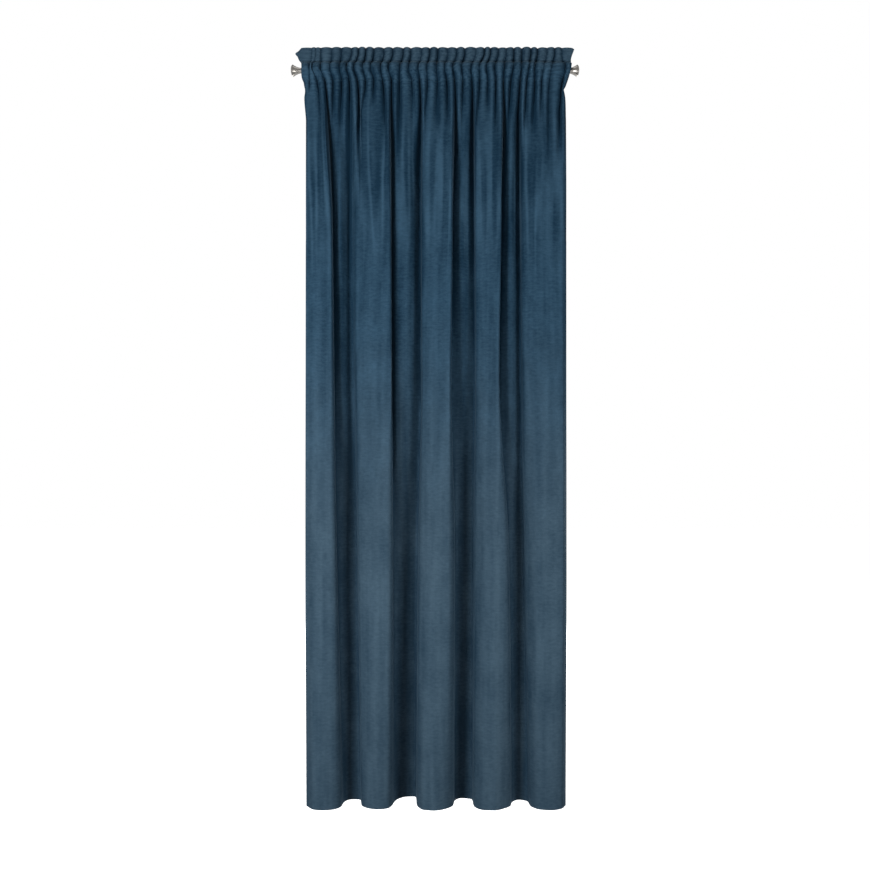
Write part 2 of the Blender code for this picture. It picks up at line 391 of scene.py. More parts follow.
@dataclass(frozen=True)
class Velvet:
    """The pile side. Coordinates are the cloth's own: across it and along it, in metres.

    The tone runs from deep to pale at random across the nap, with light and shade painted into it: a painted
    sheen makes the lower cloth and the frill paler and greyer than the darker, purer blue above, painted
    shade darkens the folds, and the shut gaps of the gathers get a near-black painted shade of their own.
    Painted highlights run as pale lines down the upper cloth. A zone is where it starts and is full, or its
    centre and reach.
    """

    name: str = "velvet_pile"
    # Tones of the upper cloth, painted darker and purer blue than the lower cloth's: painted shade towards
    # the top.
    deep_above: Colour = (0.0050, 0.0210, 0.0410)
    pale_above: Colour = (0.0300, 0.0715, 0.1160)
    # Painted sheen: paler, greyer copies of the tones for the lower cloth.
    deep_painted_sheen: Colour = (0.0110, 0.0285, 0.0490)
    pale_painted_sheen: Colour = (0.0440, 0.0780, 0.1100)
    # Painted shade: the near-black tone of the shut gaps between the heading's gathers.
    painted_gap_shade: Colour = (0.0012, 0.0085, 0.0190)
    # Zones along the cloth where the painted sheen fades out going up, and where it comes back on the frill.
    painted_sheen_fade: Zone = (0.95, 1.90)
    frill_zone: Zone = (2.60, 2.67)
    heading_zone: Zone = (2.50, 2.58)
    # The painted shade of the shut gaps fades out below this zone.
    gather_zone: Zone = (2.38, 2.54)
    # Painted highlight lines lie in this band along the cloth.
    crease_highlight_zone: Zone = (2.23, 0.45)
    seams: tuple[float, float] = (2.584, 2.651)
    seam_reach: float = 0.011
    streak_scale: Scale = (34.0, 2.2, 1.0)
    cloud_scale: Scale = (8.0, 6.0, 1.0)
    mottle_scale: Scale = (55.0, 135.0, 1.0)
    grain_scale: Scale = (900.0, 900.0, 1.0)
    crease_highlight_scale: Scale = (24.0, 1.4, 1.0)
    pucker_scale: Scale = (190.0, 22.0, 1.0)
    clouds_in_tone: float = 1.1
    grain_in_tone: float = 0.8
    openness_shade_in_tone: float = 0.95
    crease_highlight_in_tone: float = 0.65
    heading_mottle: float = 1.2
    crease_highlight_width: float = 0.15
    gap_shade_openness: float = 0.30
    pucker_depth: float = 0.0030
    brush_depth: float = 0.0035
    grain_depth: float = 0.0004
    roughness: float = 0.75
    specular: float = 0.04
    sheen: float = 0.14
    sheen_roughness: float = 0.32
    sheen_tint: Colour = (0.40, 0.62, 0.80)

    def build(self) -> bpy.types.Material:
        """Brushes the nap in streaks and clouds, paints highlight lines, sheen and the shade of folds and
        gaps into its colour, and puckers it along the sewn rows.

        Returns:
            The material.
        """
        made, graph, shader = principled(self.name)
        cloth = graph.term("ShaderNodeUVMap", {"uv_map": "cloth"})
        along = graph.term("ShaderNodeSeparateXYZ", None, {"Vector": cloth}, "Y")
        streaks = graph.noise(cloth, self.streak_scale, 2.0, 0.5) - 0.5
        clouds = graph.noise(cloth, self.cloud_scale, 4.0, 0.65)
        mottle = graph.noise(cloth, self.mottle_scale, 3.0, 0.65)
        grain = graph.noise(cloth, self.grain_scale, 2.0, 0.6)
        # Painted highlights: thin pale lines down the upper cloth.
        crease_highlights = graph.band(graph.noise(cloth, self.crease_highlight_scale, 1.0), 0.5, self.crease_highlight_width)
        heading = graph.rising(along, *self.heading_zone)
        nap = streaks + (clouds - 0.5) * self.clouds_in_tone + (mottle - 0.5)
        nap = nap + (grain - 0.5) * self.grain_in_tone
        nap = nap + (crease_highlights * self.crease_highlight_in_tone - 0.30) * graph.band(along, *self.crease_highlight_zone)
        nap = nap + ((mottle - 0.5) * self.heading_mottle + 0.14) * heading
        # Painted sheen: this share rises up the cloth and drops back on the frill. Where it is low the tones
        # take the painted sheen, and where it is high the tone is painted darker.
        body = graph.rising(along + (clouds - 0.5) * 0.5, *self.painted_sheen_fade)
        above_painted_sheen = body * (1.0 - graph.rising(along, *self.frill_zone) * 0.7)
        # Painted shade in the folds: the openness of each point lightens the crests and darkens the folds.
        crest = graph.term("ShaderNodeAttribute", {"attribute_name": CREST}, None, "Fac")
        deep = graph.blend(above_painted_sheen, self.deep_painted_sheen, self.deep_above)
        pale = graph.blend(above_painted_sheen, self.pale_painted_sheen, self.pale_above)
        tone = graph.clamped(nap + crest * self.openness_shade_in_tone - 0.30 - above_painted_sheen * 0.13)
        # Painted shade: the shut gaps of the heading's gathers take the near-black tone.
        below_gathers = 1.0 - graph.rising(along, *self.gather_zone)
        out_of_gap_shade = graph.rising(crest + below_gathers * self.gap_shade_openness, 0.0, self.gap_shade_openness)
        lit = graph.blend(tone, deep, pale)
        graph.feed(shader.inputs["Base Color"], graph.blend(out_of_gap_shade, self.painted_gap_shade, lit))
        graph.feed(shader.inputs["Roughness"], self.roughness + (mottle - 0.5) * 0.16)
        near_seam = graph.band(along, self.seams[0], self.seam_reach)
        near_seam = near_seam + graph.band(along, self.seams[1], self.seam_reach)
        puckers = graph.noise(cloth, self.pucker_scale, 1.0)
        puckered = graph.bump(puckers * near_seam, self.pucker_depth, 1.0)
        brushed = graph.bump(clouds * 0.6 + mottle * 0.4, self.brush_depth, 0.5, puckered)
        graph.feed(shader.inputs["Normal"], graph.bump(grain, self.grain_depth, 0.35, brushed))
        shader.inputs["Specular IOR Level"].default_value = self.specular
        shader.inputs["Sheen Weight"].default_value = self.sheen
        shader.inputs["Sheen Roughness"].default_value = self.sheen_roughness
        shader.inputs["Sheen Tint"].default_value = (*self.sheen_tint, 1.0)
        return made


@dataclass(frozen=True)
class VelvetReverse:
    """The knitted back of the cloth: flat, dull and finely ribbed along its length."""

    name: str = "velvet_reverse"
    deep: Colour = (0.010, 0.026, 0.044)
    pale: Colour = (0.018, 0.042, 0.066)
    roughness: float = 0.85
    specular: float = 0.12
    ribs_to_the_metre: float = 180.0
    rib_depth: float = 0.0003
    uneven_scale: Scale = (14.0, 5.0, 1.0)

    def build(self) -> bpy.types.Material:
        """Knits the ribs, a little uneven and without sheen.

        Returns:
            The material.
        """
        made, graph, shader = principled(self.name)
        cloth = graph.term("ShaderNodeUVMap", {"uv_map": "cloth"})
        ribs = graph.term(
            "ShaderNodeTexWave",
            {"wave_type": "BANDS", "bands_direction": "X", "wave_profile": "SIN"},
            {"Vector": cloth, "Scale": self.ribs_to_the_metre, "Distortion": 0.6, "Detail": 1.0},
        )
        uneven = graph.noise(cloth, self.uneven_scale, 4.0, 0.6)
        share = graph.clamped((uneven - 0.5) * 1.6 + ribs * 0.25 + 0.35)
        graph.feed(shader.inputs["Base Color"], graph.blend(share, self.deep, self.pale))
        graph.feed(shader.inputs["Roughness"], self.roughness + (uneven - 0.5) * 0.1)
        graph.feed(shader.inputs["Normal"], graph.bump(ribs, self.rib_depth, 0.5))
        shader.inputs["Specular IOR Level"].default_value = self.specular
        return made


@dataclass(frozen=True)
class Thread:
    """Sewing thread in the cloth's colour."""

    name: str = "sewing_thread"
    deep: Colour = (0.008, 0.026, 0.048)
    pale: Colour = (0.016, 0.044, 0.076)
    roughness: float = 0.5
    specular: float = 0.2
    twist_scale: Scale = (1800.0, 1800.0, 700.0)
    twist_depth: float = 0.0002

    def build(self) -> bpy.types.Material:
        """Twists the thread softly along each stitch.

        Returns:
            The material.
        """
        made, graph, shader = principled(self.name)
        place = graph.term("ShaderNodeTexCoord", None, None, "Object")
        twist = graph.noise(place, self.twist_scale, 1.0)
        graph.feed(shader.inputs["Base Color"], graph.blend(twist, self.deep, self.pale))
        graph.feed(shader.inputs["Roughness"], self.roughness + twist * 0.2)
        graph.feed(shader.inputs["Normal"], graph.bump(twist, self.twist_depth, 0.6))
        shader.inputs["Specular IOR Level"].default_value = self.specular
        return made


@dataclass(frozen=True)
class SatinNickel:
    """Turned metal with a satin, slightly warm grey face and fine rings from the lathe."""

    name: str = "satin_nickel"
    dark: Colour = (0.10, 0.095, 0.088)
    light: Colour = (0.22, 0.21, 0.195)
    roughness: float = 0.27
    ring_depth: float = 0.00006
    ring_scale: Scale = (1400.0, 2.0, 2.0)
    smudge_scale: Scale = (90.0, 90.0, 90.0)

    def build(self) -> bpy.types.Material:
        """Turns rings round X, and lays smudges that change the gloss.

        Returns:
            The material.
        """
        made, graph, shader = principled(self.name)
        place = graph.term("ShaderNodeTexCoord", None, None, "Object")
        rings = graph.noise(place, self.ring_scale, 2.0)
        smudges = graph.noise(place, self.smudge_scale, 3.0)
        tone = graph.clamped(rings * 0.5 + smudges * 0.5)
        graph.feed(shader.inputs["Base Color"], graph.blend(tone, self.dark, self.light))
        gloss = (smudges - 0.5) * 0.2 + (rings - 0.5) * 0.1
        graph.feed(shader.inputs["Roughness"], self.roughness + gloss)
        graph.feed(shader.inputs["Normal"], graph.bump(rings, self.ring_depth, 0.6))
        shader.inputs["Metallic"].default_value = 1.0
        return made


@dataclass(frozen=True)
class StudioWhite:
    """A floor that reads plain white."""

    name: str = "studio_white"
    paint: Colour = (0.8, 0.8, 0.8)
    roughness: float = 0.9
    glow: float = 1.0

    def build(self) -> bpy.types.Material:
        """Paints the floor and gives it its glow.

        Returns:
            The material.
        """
        made, _, shader = principled(self.name)
        shader.inputs["Base Color"].default_value = (*self.paint, 1.0)
        shader.inputs["Roughness"].default_value = self.roughness
        shader.inputs["Specular IOR Level"].default_value = 0.0
        shader.inputs["Emission Color"].default_value = (1.0, 1.0, 1.0, 1.0)
        shader.inputs["Emission Strength"].default_value = self.glow
        return made


# ---------------------------------------------------------------------------------------------------------
# Meshes and objects


def grid_faces(rows: int, columns: int) -> list[tuple[int, int, int, int]]:
    """Joins a grid of points that are listed row by row.

    Args:
        rows: Rows of points.
        columns: Points in a row.

    Returns:
        The quads.
    """
    return [
        (start, start + 1, start + 1 + columns, start + columns)
        for row in range(rows - 1)
        for start in range(row * columns, row * columns + columns - 1)
    ]


def add_object(name: str, mesh: bpy.types.Mesh, *finishes: bpy.types.Material) -> bpy.types.Object:
    """Puts an object at the origin of the scene.

    Args:
        name: Its name.
        mesh: Its mesh.
        *finishes: Its materials, in the order of its faces' material numbers.

    Returns:
        The object.
    """
    for finish in finishes:
        mesh.materials.append(finish)
    made = bpy.data.objects.new(name, mesh)
    bpy.context.scene.collection.objects.link(made)
    return made


def settle(made: bpy.types.Object) -> None:
    """Turns an object's modifiers into a plain mesh and removes them.

    Args:
        made: The object.
    """
    graph = bpy.context.evaluated_depsgraph_get()
    graph.update()
    mesh = bpy.data.meshes.new_from_object(made.evaluated_get(graph), depsgraph=graph)
    made.modifiers.clear()
    made.data = mesh


def hand_over(made: bpy.types.Object, slot: Slot, *nodes: str) -> None:
    """Gives a finished piece its body, hides the CAD nodes that it stands for, and logs it.

    Args:
        made: The piece.
        slot: Its material slot; not used.
        *nodes: The nodes.
    """
    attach(made, BODY)
    if nodes:
        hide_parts(*nodes)
    made.data.calc_loop_triangles()
    LOG.info("%s: %d triangles", made.name, len(made.data.loop_triangles))


# ---------------------------------------------------------------------------------------------------------
# How the cloth hangs


class Gap(NamedTuple):
    """One gap between gathers: its place along the rod at four heights, its depth and where it ends.

    A depth of 1 is usual, and the gap has smoothed out at the height at which it ends.
    """

    frill: float
    rod: float
    seam: float
    below: float
    frill_depth: float
    depth: float
    ends: float


class FoldLine(NamedTuple):
    """One line down the cloth, by the gather that it starts from, and where it hangs at four heights."""

    gather: float
    x_upper: float
    y_upper: float
    x_middle: float
    y_middle: float
    x_lower: float
    y_lower: float
    x_hem: float
    y_hem: float


class Edge(NamedTuple):
    """Where the two side edges stand at one height."""

    height: float
    left: float
    right: float


class Layer(NamedTuple):
    """Half the distance between the two layers of the heading at one height."""

    height: float
    half_gap: float


class Profile(NamedTuple):
    """Values that run straight from one height to the next."""

    heights: tuple[float, ...]
    values: tuple[float, ...]


GAPS = (
    Gap(-440, -445, -448, -450, 0.4, 0.6, -90),
    Gap(-425, -436, -421, -409, 0.2, 0.8, -210),
    Gap(-407, -407, -393, -384, 0.6, 1.2, -600),
    Gap(-368, -373, -364, -366, 0.7, 0.9, -190),
    Gap(-334, -339, -333, -338, 0.9, 1.0, -300),
    Gap(-298, -314, -306, -304, 0.7, 1.0, -290),
    Gap(-273, -288, -277, -268, 1.0, 1.2, -600),
    Gap(-247, -257, -248, -263, 1.2, 0.9, -150),
    Gap(-218, -229, -218, -222, 1.1, 0.9, -170),
    Gap(-182, -193, -186, -177, 0.9, 1.0, -270),
    Gap(-150, -166, -155, -157, 1.1, 1.1, -400),
    Gap(-113, -125, -127, -127, 1.0, 1.0, -340),
    Gap(-86, -95, -83, -79, 1.1, 0.8, -210),
    Gap(-47, -59, -55, -48, 0.5, 1.1, -600),
    Gap(-18, -29, -27, -34, 1.1, 0.8, -200),
    Gap(10, 5, 9, 7, 1.2, 0.9, -275),
    Gap(46, 34, 42, 46, 0.6, 1.0, -260),
    Gap(78, 64, 70, 75, 0.8, 1.1, -600),
    Gap(107, 94, 100, 98, 1.3, 0.9, -220),
    Gap(146, 127, 132, 137, 0.5, 1.2, -600),
    Gap(177, 157, 160, 150, 1.2, 0.8, -220),
    Gap(198, 182, 189, 189, 1.1, 0.8, -210),
    Gap(227, 212, 218, 218, 0.8, 1.0, -290),
    Gap(255, 246, 245, 250, 0.5, 1.1, -600),
    Gap(282, 278, 271, 264, 1.3, 1.0, -220),
    Gap(310, 307, 305, 298, 1.1, 1.2, -600),
    Gap(343, 334, 328, 323, 1.2, 0.9, -260),
    Gap(366, 353, 357, 353, 1.2, 1.0, -290),
    Gap(400, 386, 381, 380, 0.5, 0.7, -220),
    Gap(428, 414, 409, 405, 1.0, 0.7, -450),
    Gap(453, 463, 457, 446, 0.5, 1.1, -430),
)
GATHERS = len(GAPS) + 1

# Each front starts at a left turn, comes forward to a shoulder and ends at a right turn. Each valley has two
# gaps with a ridge between them, which flattens out lower down.
FOLD_LINES = (
    FoldLine(0.0, -461, -4, -461, -8, -461, -12, -458, -12),
    FoldLine(1.6, -425, -14, -425, -22, -425, -38, -425, -46),
    FoldLine(2.05, -400, -18, -398, -28, -392, -46, -392, -52),
    FoldLine(2.55, -371, -28, -366, -39, -360, -46, -356, -45),
    FoldLine(2.8, -366, -22, -360, -33, -349, -34, -334, -22),
    FoldLine(3.0, -367, 22, -362, 26, -352, 16, -326, 18),
    FoldLine(4.8, -340, 4, -338, 16, -328, 34, -303, 41),
    FoldLine(6.0, -308, 34, -302, 44, -290, 48, -274, 42),
    FoldLine(6.8, -280, -2, -276, -4, -268, -10, -259, -13),
    FoldLine(8.4, -238, -15, -235, -23, -230, -34, -228, -37),
    FoldLine(9.4, -200, -20, -198, -30, -196, -41, -200, -43),
    FoldLine(10.4, -161, -29, -158, -40, -159, -44, -164, -31),
    FoldLine(10.7, -156, -22, -153, -34, -151, -30, -154, -15),
    FoldLine(11.0, -157, 24, -155, 26, -149, 28, -147, 18),
    FoldLine(11.7, -140, -2, -138, 4, -134, 34, -128, 52),
    FoldLine(12.6, -100, 0, -104, 14, -110, 44, -104, 65),
    FoldLine(13.8, -53, 40, -52, 48, -66, 60, -75, 66),
    FoldLine(14.3, -47, 0, -44, -4, -54, -10, -62, -18),
    FoldLine(15.3, -20, -18, -18, -24, -24, -36, -40, -48),
    FoldLine(16.1, 14, -23, 12, -32, 8, -47, -6, -54),
    FoldLine(17.1, 56, -31, 50, -42, 49, -50, 44, -34),
    FoldLine(17.5, 62, -24, 56, -35, 67, -30, 64, -12),
    FoldLine(18.0, 63, 26, 59, 28, 74, 26, 71, 30),
    FoldLine(19.0, 96, 4, 94, 24, 98, 44, 96, 54),
    FoldLine(20.0, 141, 32, 142, 38, 132, 44, 132, 45),
    FoldLine(20.5, 146, -4, 148, -6, 146, -8, 139, -18),
    FoldLine(21.4, 174, -15, 174, -25, 174, -37, 170, -49),
    FoldLine(22.4, 202, -21, 197, -31, 212, -48, 208, -53),
    FoldLine(23.3, 230, -31, 222, -41, 243, -48, 246, -36),
    FoldLine(23.6, 235, -24, 227, -34, 260, -30, 268, -14),
    FoldLine(24.0, 236, 24, 229, 24, 266, 12, 277, 18),
    FoldLine(25.2, 268, -2, 266, 6, 280, 26, 303, 39),
    FoldLine(26.0, 304, 32, 308, 36, 316, 36, 333, 25),
    FoldLine(26.6, 311, -2, 316, -4, 326, -6, 339, -14),
    FoldLine(28.2, 345, -20, 352, -28, 362, -38, 368, -45),
    FoldLine(29.6, 398, -22, 400, -31, 404, -45, 404, -51),
    FoldLine(31.2, 448, -22, 449, -32, 450, -42, 447, -38),
    FoldLine(GATHERS, 468, -8, 468, -10, 468, -12, 466, -10),
)

EDGES = (
    Edge(-176, -461, 468),
    Edge(-97, -467, 465),
    Edge(-76, -464, 461),
    Edge(-68, -464, 459),
    Edge(-60, -466, 464),
    Edge(-47, -468, 469),
    Edge(-26, -475, 476),
    Edge(2, -473, 482),
    Edge(24, -475, 485),
    Edge(38, -486, 485),
    Edge(52, -492, 488),
    Edge(60, -499, 491),
    Edge(68, -489, 494),
    Edge(76, -481, 497),
    Edge(82, -476, 486),
)

POCKET = (
    Layer(-60, 1.7),
    Layer(-40, 1.7),
    Layer(-34, 3.2),
    Layer(-24, 11.0),
    Layer(-10, 19.5),
    Layer(2, 22.5),
    Layer(14, 22.5),
    Layer(21, 15.5),
    Layer(27, 6.0),
    Layer(31, 1.7),
    Layer(40, 2.3),
    Layer(60, 2.8),
    Layer(82, 2.2),
)

WAVE_DEPTH = Profile((-120, -36, -14, 12, 31, 60), (11.0, 9.4, 6.6, 6.6, 8.0, 6.4))
WAVE_SHARPNESS = Profile((-260, -90, -36, 31, 80), (2.0, 1.1, 0.8, 0.75, 0.7))
# How hard the painted shade of the folds is, by height: hardest in the heading's gathers.
CREST_CONTRAST = Profile((-500, -100, -30, 40), (1.0, 3.0, 5.0, 6.5))


@dataclass
class HangingCloth:
    """Where each place of the flat cloth hangs.

    Across is millimetres from the flat cloth's left side. A height is millimetres above the rod's axis.
    """

    hem: float
    width: float = 1400.0
    lower_seam: float = -36.0
    upper_seam: float = 31.0
    gathers_open: float = -150.0
    folds_upper: float = -605.0
    folds_middle: float = -1100.0
    folds_lower: float = -1700.0
    folds_grow: float = 400.0
    frill_line: float = 57.0
    edge_depth: float = 0.2
    gap_softness: float = 0.10
    seam_wander: float = 5.0
    top_wander: float = 1.4
    drift_depth: float = 1.8
    ripple_depth: float = 0.7
    ripple_gain: float = 1.1
    pocket_lumps: float = 3.4
    pocket_bulge: float = 2.0
    fine_steps: int = 1600
    upper: tuple[np.ndarray, np.ndarray, np.ndarray] = field(init=False)

    def __post_init__(self) -> None:
        """Draws the cloth's unevenness and hangs its upper folds, which the gathers run into."""
        size = (self.width, 3000.0)
        self.lumps = Wander(11, (15.0, 13.0), size)
        self.drift = Wander(23, (65.0, 420.0), size)
        self.ripples = Wander(31, (26.0, 150.0), size)
        self.seam_line = Wander(47, (38.0, 3000.0), size)
        self.top_line = Wander(53, (24.0, 3000.0), size)
        self.upper = self.developed(self.folds_upper)
        places = self.key_places()
        self.gather_keys = (places, [line.gather for line in FOLD_LINES])

    def keys(self, height: float) -> tuple[np.ndarray, np.ndarray]:
        """Reads the fold lines at one height.

        Args:
            height: At or below the upper folds.

        Returns:
            Their X and Y.
        """
        heights = (self.hem, self.folds_lower, self.folds_middle, self.folds_upper)
        x, y = [], []
        for line in FOLD_LINES:
            x.append(smooth(heights, (line.x_hem, line.x_lower, line.x_middle, line.x_upper), height))
            y.append(smooth(heights, (line.y_hem, line.y_lower, line.y_middle, line.y_upper), height))
        return np.array(x), np.array(y)

    def developed(self, height: float) -> tuple[np.ndarray, np.ndarray, np.ndarray]:
        """A fine line of X and Y at one height, deepened until it takes up the cloth's width.

        Args:
            height: At or below the upper folds.

        Returns:
            Places across the cloth, and X and Y there.
        """
        x_keys, y_keys = self.keys(height)
        chord = run_length(x_keys, y_keys)
        fine = np.linspace(0.0, chord[-1], self.fine_steps)
        x = smooth(chord, x_keys, fine)
        y = smooth(chord, y_keys, fine)
        y = y * self.deepening(x, y)
        across = run_length(x, y)
        return across * (self.width / across[-1]), x, y

    def key_places(self) -> np.ndarray:
        """Finds where the fold lines start across the cloth.

        Returns:
            Their places on the flat cloth.
        """
        x_keys, y_keys = self.keys(self.folds_upper)
        chord = run_length(x_keys, y_keys)
        fine = np.linspace(0.0, chord[-1], self.fine_steps)
        return np.interp(chord, fine, self.upper[0])

    def deepening(self, x: np.ndarray, y: np.ndarray, most: float = 1.6) -> float:
        """Finds the factor on a section's depth that makes it take up the whole width of the cloth.

        Args:
            x: X of the section's points.
            y: Y of the section's points.
            most: The largest factor allowed, and one over it the least.

        Returns:
            The factor.
        """
        least = 1.0 / most
        for _ in range(16):
            middle = 0.5 * (least + most)
            if np.hypot(np.diff(x), np.diff(middle * y)).sum() < self.width:
                least = middle
            else:
                most = middle
        return middle

    def gather_at(self, across: np.ndarray) -> np.ndarray:
        """Place across the cloth, counted in gathers."""
        return np.interp(across, *self.gather_keys)

    def across_at(self, gather: np.ndarray) -> np.ndarray:
        """Place across the cloth, of a place counted in gathers."""
        places, gathers = self.gather_keys
        return np.interp(gather, gathers, places)

    def gathered(self, gather: np.ndarray, height: float) -> tuple[np.ndarray, np.ndarray]:
        """Waves the cloth in its gathers at one height.

        Args:
            gather: Places counted in gathers.
            height: Above the upper folds.

        Returns:
            X and Y there.
        """
        edge_heights = [edge.height for edge in EDGES]
        left = smooth(edge_heights, [edge.left for edge in EDGES], height)
        right = smooth(edge_heights, [edge.right for edge in EDGES], height)
        heights = (self.gathers_open, self.lower_seam, 0.0, self.frill_line)
        inner = [smooth(heights, (gap.below, gap.seam, gap.rod, gap.frill), height) for gap in GAPS]
        x = np.interp(gather, range(GATHERS + 1), [left, *inner, right])
        depth = np.interp(height, *WAVE_DEPTH)
        sharpness = np.interp(height, *WAVE_SHARPNESS)
        in_frill = ease((height - 5.0) / 30.0)
        falls = [self.edge_depth]
        for gap in GAPS:
            fading = 1.0 - ease((self.lower_seam - height) / (self.lower_seam - gap.ends))
            falls.append(gap.frill_depth * in_frill + gap.depth * (1.0 - in_frill) * fading)
        falls = np.array([*falls, self.edge_depth])
        nearest = np.clip(np.round(gather).astype(int), 0, GATHERS)
        soft = self.gap_softness**2
        wave = np.sqrt((np.sin(np.pi * gather) ** 2 + soft) / (1.0 + soft)) ** sharpness
        y = depth * (2.0 * falls[nearest] * (1.0 - wave) - np.interp(gather, range(GATHERS + 1), falls))
        return x, y

    def section(self, across: np.ndarray, height: float) -> tuple[np.ndarray, np.ndarray]:
        """Hangs one row of the cloth.

        Args:
            across: Places on the flat cloth.
            height: Height of the row.

        Returns:
            X and Y of the cloth's middle there.
        """
        below = self.hem - height
        if height < self.folds_upper:
            places, x, y = self.developed(height)
            x, y = np.interp(across, places, x), np.interp(across, places, y)
        else:
            x, y = self.gathered(self.gather_at(across), height)
            if height < self.lower_seam:
                drop = self.lower_seam - height
                folded_x = np.interp(across, self.upper[0], self.upper[1])
                folded_y = np.interp(across, self.upper[0], self.upper[2])
                x = x + (folded_x - x) * ease(drop / (self.lower_seam - self.folds_upper))
                y = y + folded_y * ease(drop / self.folds_grow)
                y = y * self.deepening(x, y)
        loose = ease((self.lower_seam - height) / 500.0)
        rippled = self.ripple_depth + self.ripple_gain * ease((height + 1000.0) / 400.0)
        rippled = rippled * ease((self.lower_seam - height) / 120.0)
        y = y + loose * self.drift_depth * self.drift.at(across, -below)
        return x, y + rippled * self.ripples.at(across, -below)

    def openness(self, row: np.ndarray) -> np.ndarray:
        """How openly each point of a row stands to the front: 1 on a crest, and less down in a fold.
        The velvet paints shade into the folds from it.

        Args:
            row: X, Y and Z of the row's points.

        Returns:
            A share for each point, with more contrast in the tight gathers of the heading.
        """
        x, y, z = row.T
        ahead = np.maximum(y[:, None] - y[None, :], 0.0)
        aside = x[None, :] - x[:, None]
        angle = np.where(ahead > 0.5, np.arctan2(np.abs(aside), ahead), 0.5 * math.pi)
        left = np.where(aside < 0, angle, 0.5 * math.pi).min(axis=1)
        right = np.where(aside > 0, angle, 0.5 * math.pi).min(axis=1)
        return (0.5 * (np.sin(left) + np.sin(right))) ** np.interp(z, *CREST_CONTRAST)

    def half_gap(self, height: float) -> float:
        """Reads how far apart the heading's layers are.

        Args:
            height: Any height, with a single layer below the lower seam.

        Returns:
            Half the distance between them.
        """
        if height < self.lower_seam:
            return float(np.interp(height, (self.gathers_open, self.lower_seam), (0.0, POCKET[0].half_gap)))
        return float(smooth([row.height for row in POCKET], [row.half_gap for row in POCKET], height))

    def surface(
        self,
        across: np.ndarray,
        height: float,
        side: float,
        lift: float = 0.0,
    ) -> np.ndarray:
        """Points on the pile side of one row of the cloth.

        Args:
            across: Places on the flat cloth.
            height: Height of the row before its small unevenness.
            side: -1 on the front, 1 on the back, and between them over the top fold.
            lift: Distance above the pile side.

        Returns:
            An array of X, Y and Z.
        """
        x, y = self.section(across, height)
        sewn = POCKET[0].half_gap
        gap = self.half_gap(height)
        close = min(gap, sewn) + lift
        tangent = np.stack([np.gradient(x), np.gradient(y)])
        tangent /= np.hypot(*tangent)
        x = x - tangent[1] * close * side
        y = y + tangent[0] * close * side
        in_pocket = ease((gap - sewn) / 12.0)
        lump = self.lumps.at(across, height + 200.0 + 90.0 * side)
        bulge = in_pocket * (self.pocket_lumps * lump + self.pocket_bulge)
        y = y + side * (max(gap - sewn, 0.0) + bulge)
        near_seam = ease((5.0 - height) / 36.0) * ease((height + 130.0) / 90.0)
        near_top = ease((height - self.upper_seam) / 45.0)
        z = height + self.seam_wander * near_seam * self.seam_line.at(across, 0.0)
        z = z + self.top_wander * near_top * self.top_line.at(across, 0.0)
        return np.stack([x, y, z], axis=1)


# ---------------------------------------------------------------------------------------------------------
# Sub-assemblies


